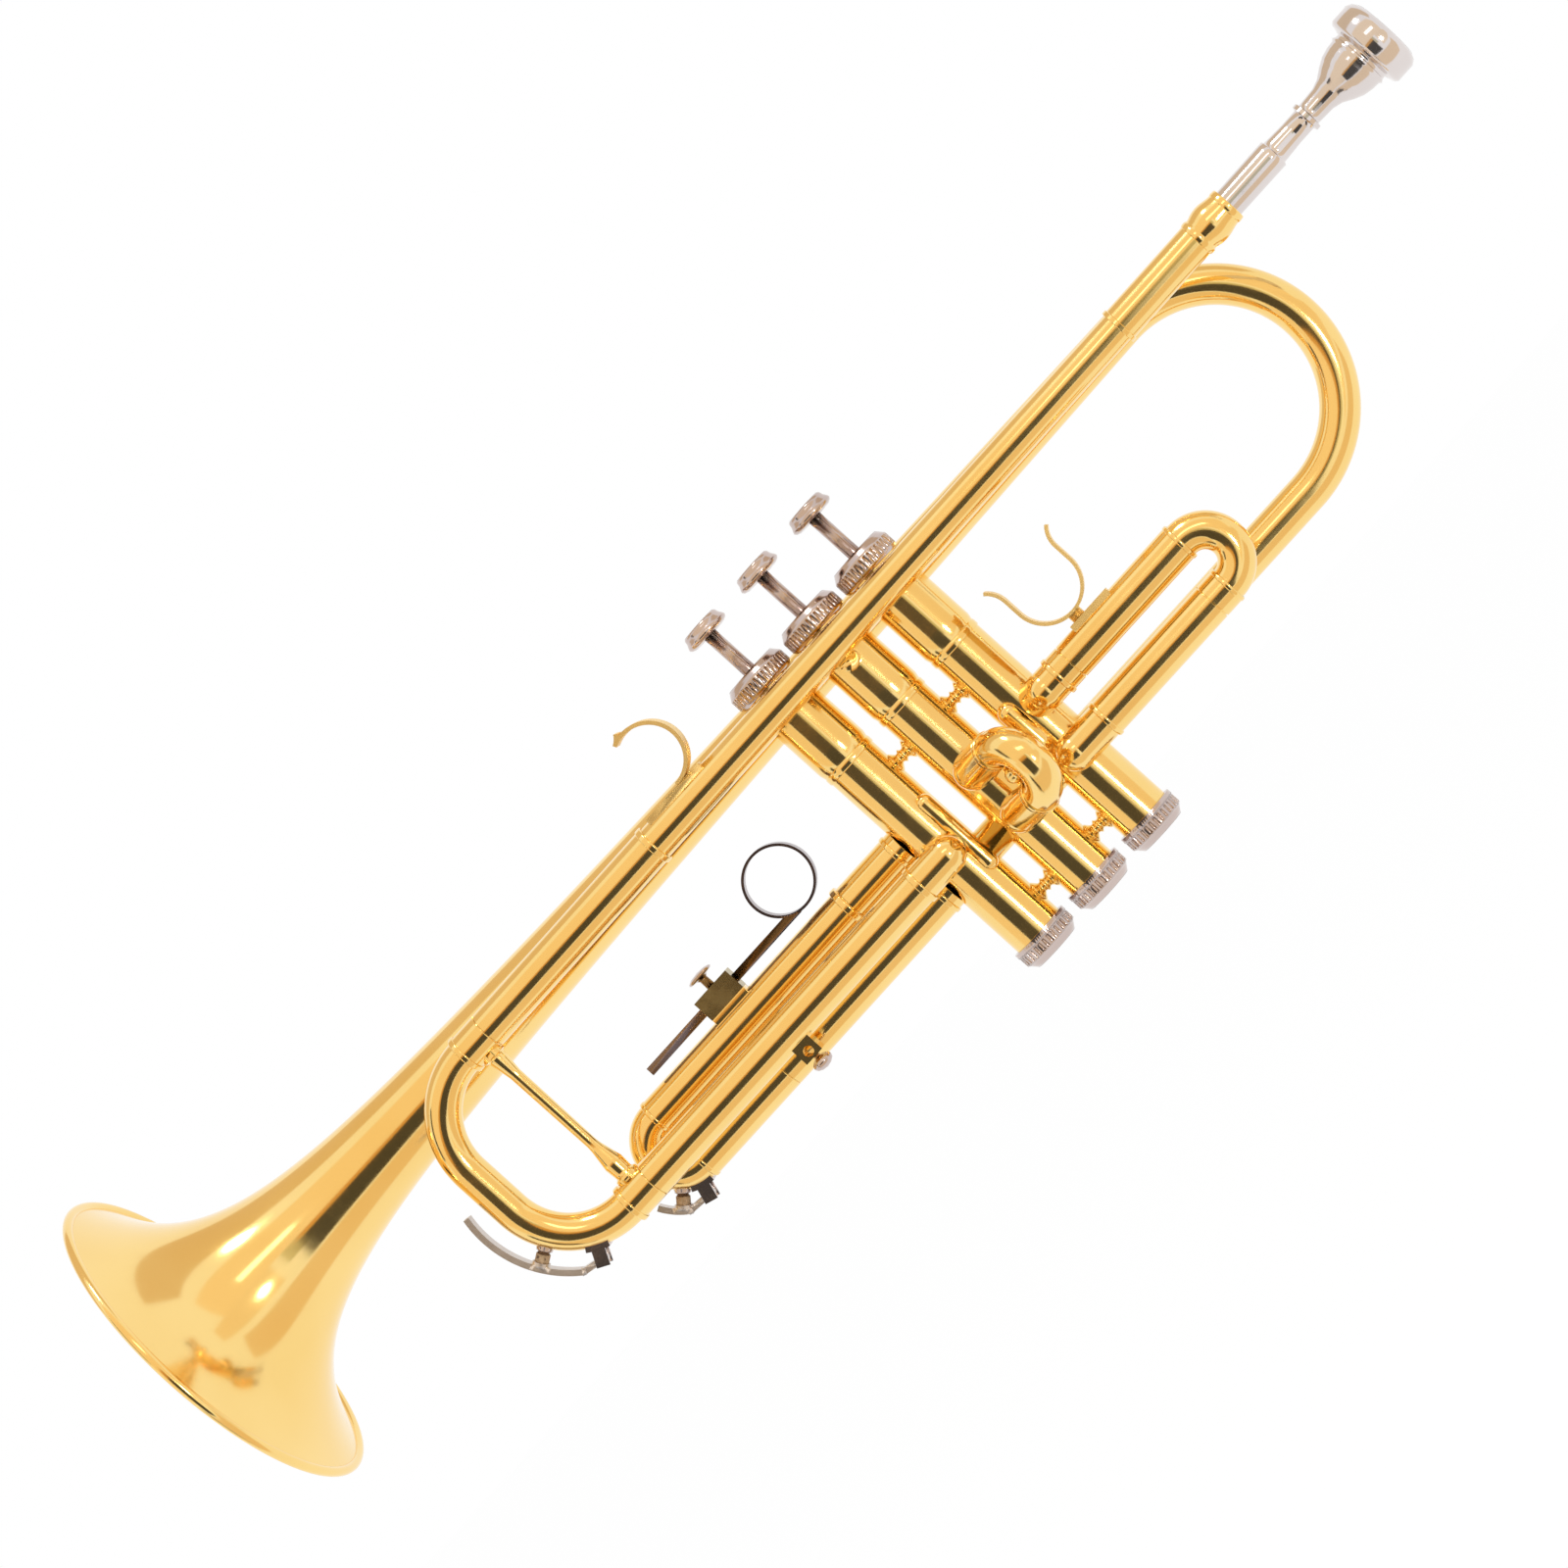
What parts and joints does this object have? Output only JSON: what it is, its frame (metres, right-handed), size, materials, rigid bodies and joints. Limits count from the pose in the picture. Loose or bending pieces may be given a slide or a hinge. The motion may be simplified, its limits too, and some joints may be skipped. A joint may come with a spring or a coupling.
{
  "type": "trumpet",
  "caption": "Piston-valve trumpet in gold lacquer: bell, leadpipe, tuning slide, sprung valves, valve slides with ring and saddle, water keys and a silver mouthpiece.",
  "frame": {"origin": "on the axis of the middle valve, half way up the slide rows, where a hand holds the casings", "axes": "+X towards the mouthpiece, +Z towards the finger buttons, the leadpipe on the -Y side and the bell on the +Y side"},
  "size_m": [0.556, 0.1246, 0.1768],
  "materials": {
    "gold_lacquer": "clear gold lacquer over polished brass",
    "nickel_plate": "polished nickel plate with a warm cast",
    "silver_plate": "polished silver plate",
    "dark_nickel": "dark reflecting nickel",
    "old_brass": "satin brass",
    "steel_wire": "drawn wire",
    "spring_steel": "spring wire",
    "guide_plastic": "moulded nylon",
    "felt": "pressed felt",
    "cork": "natural cork"
  },
  "bodies": {
    "horn": {"bell": "gold_lacquer", "bell_rim_wire": "steel_wire", "leadpipe": "gold_lacquer", "mouthpiece_receiver": "gold_lacquer", "tuning_upper_sleeve": "gold_lacquer", "tuning_lower_sleeve": "gold_lacquer", "third_fixed_tubes": "gold_lacquer", "second_slide_sleeves": "gold_lacquer", "first_fixed_tubes": "gold_lacquer", "valve_crosstubes": "gold_lacquer", "casing_posts": "gold_lacquer", "leadpipe_braces": "gold_lacquer", "finger_hook": "gold_lacquer", "lyre_socket": "gold_lacquer", "valve_casing_1": "gold_lacquer", "valve_casing_2": "gold_lacquer", "valve_casing_3": "gold_lacquer", "top_caps": "nickel_plate", "bottom_caps": "nickel_plate", "valve_guide_1": "guide_plastic", "valve_guide_2": "guide_plastic", "valve_guide_3": "guide_plastic", "valve_spring_1": "spring_steel", "valve_spring_2": "spring_steel", "valve_spring_3": "spring_steel"},
    "tuning_slide": {"tuning_crook": "gold_lacquer", "tuning_legs": "gold_lacquer", "tuning_ferrules": "gold_lacquer", "tuning_brace": "gold_lacquer", "tuning_key_saddle": "nickel_plate"},
    "tuning_key": {"tuning_key_lever": "nickel_plate", "tuning_key_cork": "cork"},
    "third_slide": {"third_crook": "gold_lacquer", "third_moving_tubes": "gold_lacquer", "ring_block": "old_brass", "third_key_saddle": "nickel_plate"},
    "third_key": {"third_key_lever": "nickel_plate", "third_key_cork": "cork"},
    "third_ring": {"finger_ring": "dark_nickel"},
    "third_ring_screw": {"ring_screw": "nickel_plate"},
    "first_slide": {"first_crook": "gold_lacquer", "first_moving_tubes": "gold_lacquer", "thumb_saddle": "gold_lacquer"},
    "second_slide": {"second_crook": "gold_lacquer", "second_slide_legs": "gold_lacquer", "second_slide_knob": "gold_lacquer"},
    "lyre_thumbscrew": {"lyre_screw": "nickel_plate"},
    "mouthpiece": {"mouthpiece": "silver_plate"},
    "valve_1": {"piston_1": "nickel_plate", "valve_stem_1": "nickel_plate", "finger_button_1": "nickel_plate", "stem_felt_1": "felt"},
    "valve_2": {"piston_2": "nickel_plate", "valve_stem_2": "nickel_plate", "finger_button_2": "nickel_plate", "stem_felt_2": "felt"},
    "valve_3": {"piston_3": "nickel_plate", "valve_stem_3": "nickel_plate", "finger_button_3": "nickel_plate", "stem_felt_3": "felt"}
  },
  "joints": [
    {"name": "valve_1_press", "type": "slide", "parent": "horn", "child": "valve_1", "axis": [0, 0, -1], "range_m": [0, 0.0155], "stiffness_N_per_m": 150, "springref_m": -0.01, "deforming": ["valve_spring_1"]},
    {"name": "valve_2_press", "type": "slide", "parent": "horn", "child": "valve_2", "axis": [0, 0, -1], "range_m": [0, 0.0155], "stiffness_N_per_m": 150, "springref_m": -0.01, "deforming": ["valve_spring_2"]},
    {"name": "valve_3_press", "type": "slide", "parent": "horn", "child": "valve_3", "axis": [0, 0, -1], "range_m": [0, 0.0155], "stiffness_N_per_m": 150, "springref_m": -0.01, "deforming": ["valve_spring_3"]},
    {"name": "tuning_slide_pull", "type": "slide", "parent": "horn", "child": "tuning_slide", "axis": [-1, 0, 0], "range_m": [0, 0.035]},
    {"name": "tuning_key_open", "type": "hinge", "parent": "tuning_slide", "child": "tuning_key", "pos_m": [-0.1905, -0.0164, -0.00678], "axis": [0, -1, 0], "range_deg": [0, 12], "stiffness_Nm_per_rad": 0.1, "springref_deg": -8.59},
    {"name": "third_slide_throw", "type": "slide", "parent": "horn", "child": "third_slide", "axis": [-1, 0, 0], "range_m": [0, 0.024]},
    {"name": "third_key_open", "type": "hinge", "parent": "third_slide", "child": "third_key", "pos_m": [-0.15599, 0, -0.01845], "axis": [0, -1, 0], "range_deg": [0, 12], "stiffness_Nm_per_rad": 0.1, "springref_deg": -8.59},
    {"name": "third_ring_adjust", "type": "slide", "parent": "third_slide", "child": "third_ring", "axis": [1, 0, 0], "range_m": [-0.012, 0.01]},
    {"name": "third_ring_screw_turn", "type": "hinge", "parent": "third_slide", "child": "third_ring_screw", "pos_m": [-0.1066, 0, 0.0251], "axis": [0, 0, 1], "continuous": true},
    {"name": "first_slide_throw", "type": "slide", "parent": "horn", "child": "first_slide", "axis": [1, 0, 0], "range_m": [0, 0.02]},
    {"name": "second_slide_pull", "type": "slide", "parent": "horn", "child": "second_slide", "axis": [0.6018, -0.7986, 0], "range_m": [0, 0.006]},
    {"name": "lyre_screw_turn", "type": "hinge", "parent": "horn", "child": "lyre_thumbscrew", "pos_m": [-0.0978, -0.0164, -0.0131], "axis": [0, 0, 1], "continuous": true},
    {"name": "mouthpiece_pull", "type": "slide", "parent": "horn", "child": "mouthpiece", "axis": [1, 0, 0], "range_m": [0, 0.06]}
  ]
}
